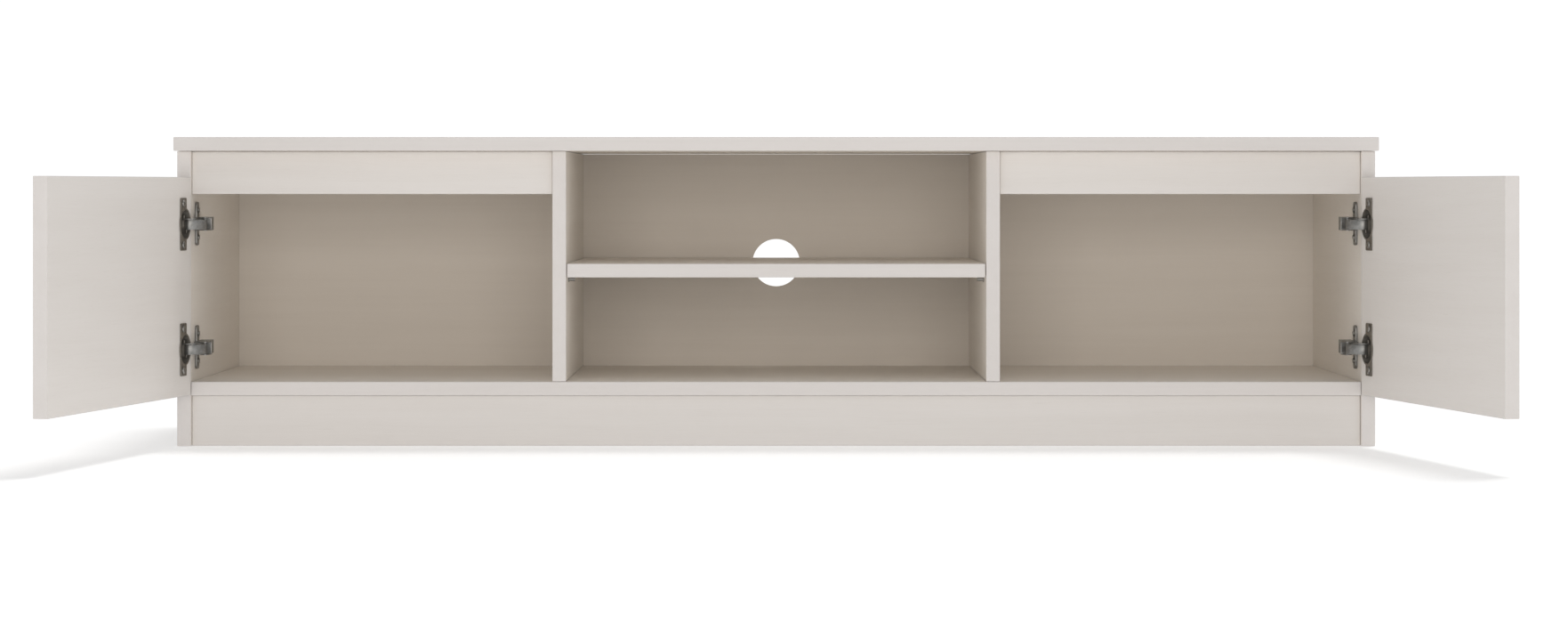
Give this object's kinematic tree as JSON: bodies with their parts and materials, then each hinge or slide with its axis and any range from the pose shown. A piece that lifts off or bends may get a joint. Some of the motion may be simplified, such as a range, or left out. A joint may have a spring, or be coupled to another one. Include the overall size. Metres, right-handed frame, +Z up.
{
  "type": "tv stand",
  "caption": "Low TV stand of laminated board: a hinged door at each end on concealed hinges, and an open middle bay with a shelf and a cable hole.",
  "frame": {"origin": "middle of the front plinth's underside, on the floor and on the cabinet's centre plane", "axes": "+Z up, -Y the way the open bay and the doors face, +X to the right seen from the front"},
  "size_m": [1.5498, 0.8311, 0.36],
  "materials": {
    "cabinet_board": "warm light greige laminated board with a faint horizontal grain, satin",
    "door_board": "the same laminated board, satin",
    "back_board": "thin hardboard with the same print, matt",
    "hinge_steel": "nickel-plated pressed steel",
    "cup_steel": "darker nickel-plated pressed steel",
    "zinc_fastener": "bright zinc-plated steel"
  },
  "bodies": {
    "root": {"back_panel": "back_board", "bottom_panel": "cabinet_board", "front_plinth": "cabinet_board", "left_divider": "cabinet_board", "left_front_rail": "cabinet_board", "left_front_shelf_pin": "zinc_fastener", "left_lower_arm_screw": "zinc_fastener", "left_lower_hinge_arm": "hinge_steel", "left_lower_mounting_plate": "hinge_steel", "left_lower_plate_screw_bottom": "zinc_fastener", "left_lower_plate_screw_top": "zinc_fastener", "left_rear_shelf_pin": "zinc_fastener", "left_side_panel": "cabinet_board", "left_upper_arm_screw": "zinc_fastener", "left_upper_hinge_arm": "hinge_steel", "left_upper_mounting_plate": "hinge_steel", "left_upper_plate_screw_bottom": "zinc_fastener", "left_upper_plate_screw_top": "zinc_fastener", "middle_shelf": "cabinet_board", "right_divider": "cabinet_board", "right_front_rail": "cabinet_board", "right_front_shelf_pin": "zinc_fastener", "right_lower_arm_screw": "zinc_fastener", "right_lower_hinge_arm": "hinge_steel", "right_lower_mounting_plate": "hinge_steel", "right_lower_plate_screw_bottom": "zinc_fastener", "right_lower_plate_screw_top": "zinc_fastener", "right_rear_shelf_pin": "zinc_fastener", "right_side_panel": "cabinet_board", "right_upper_arm_screw": "zinc_fastener", "right_upper_hinge_arm": "hinge_steel", "right_upper_mounting_plate": "hinge_steel", "right_upper_plate_screw_bottom": "zinc_fastener", "right_upper_plate_screw_top": "zinc_fastener", "top_panel": "cabinet_board"},
    "left_outer_links": {"left_lower_outer_link": "hinge_steel", "left_upper_outer_link": "hinge_steel"},
    "left_door": {"left_door": "door_board", "left_lower_hinge_cup": "cup_steel", "left_upper_hinge_cup": "cup_steel", "left_lower_cup_screw_top": "zinc_fastener", "left_lower_cup_screw_bottom": "zinc_fastener", "left_upper_cup_screw_top": "zinc_fastener", "left_upper_cup_screw_bottom": "zinc_fastener"},
    "left_inner_links": {"left_lower_inner_link": "hinge_steel", "left_upper_inner_link": "hinge_steel"},
    "right_outer_links": {"right_lower_outer_link": "hinge_steel", "right_upper_outer_link": "hinge_steel"},
    "right_door": {"right_door": "door_board", "right_lower_hinge_cup": "cup_steel", "right_upper_hinge_cup": "cup_steel", "right_lower_cup_screw_top": "zinc_fastener", "right_lower_cup_screw_bottom": "zinc_fastener", "right_upper_cup_screw_top": "zinc_fastener", "right_upper_cup_screw_bottom": "zinc_fastener"},
    "right_inner_links": {"right_lower_inner_link": "hinge_steel", "right_upper_inner_link": "hinge_steel"}
  },
  "joints": [
    {"name": "left_outer_link_pivot", "type": "hinge", "parent": "root", "child": "left_outer_links", "pos_m": [-0.6655, -0.018, 0.1865], "axis": [0, 0, -1], "range_deg": [0, 30.13]},
    {"name": "left_door_swing", "type": "hinge", "parent": "left_outer_links", "child": "left_door", "pos_m": [-0.68522, -0.03093, 0.1865], "axis": [0, 0, -1], "range_deg": [-130.13, 0]},
    {"name": "left_inner_link_pivot", "type": "hinge", "parent": "left_door", "child": "left_inner_links", "pos_m": [-0.6879, -0.0305, 0.1865], "axis": [0, 0, -1], "range_deg": [0, 118.58]},
    {"name": "right_outer_link_pivot", "type": "hinge", "parent": "root", "child": "right_outer_links", "pos_m": [0.6655, -0.018, 0.1865], "axis": [0, 0, 1], "range_deg": [0, 30.13]},
    {"name": "right_door_swing", "type": "hinge", "parent": "right_outer_links", "child": "right_door", "pos_m": [0.68522, -0.03093, 0.1865], "axis": [0, 0, 1], "range_deg": [-130.13, 0]},
    {"name": "right_inner_link_pivot", "type": "hinge", "parent": "right_door", "child": "right_inner_links", "pos_m": [0.6879, -0.0305, 0.1865], "axis": [0, 0, 1], "range_deg": [0, 118.58]}
  ],
  "couplings": [
    {"joint": "left_outer_link_pivot", "follows": "left_door_swing", "ratio": -0.23153},
    {"joint": "left_inner_link_pivot", "follows": "left_door_swing", "ratio": -0.91121},
    {"joint": "right_outer_link_pivot", "follows": "right_door_swing", "ratio": -0.23153},
    {"joint": "right_inner_link_pivot", "follows": "right_door_swing", "ratio": -0.91121}
  ]
}
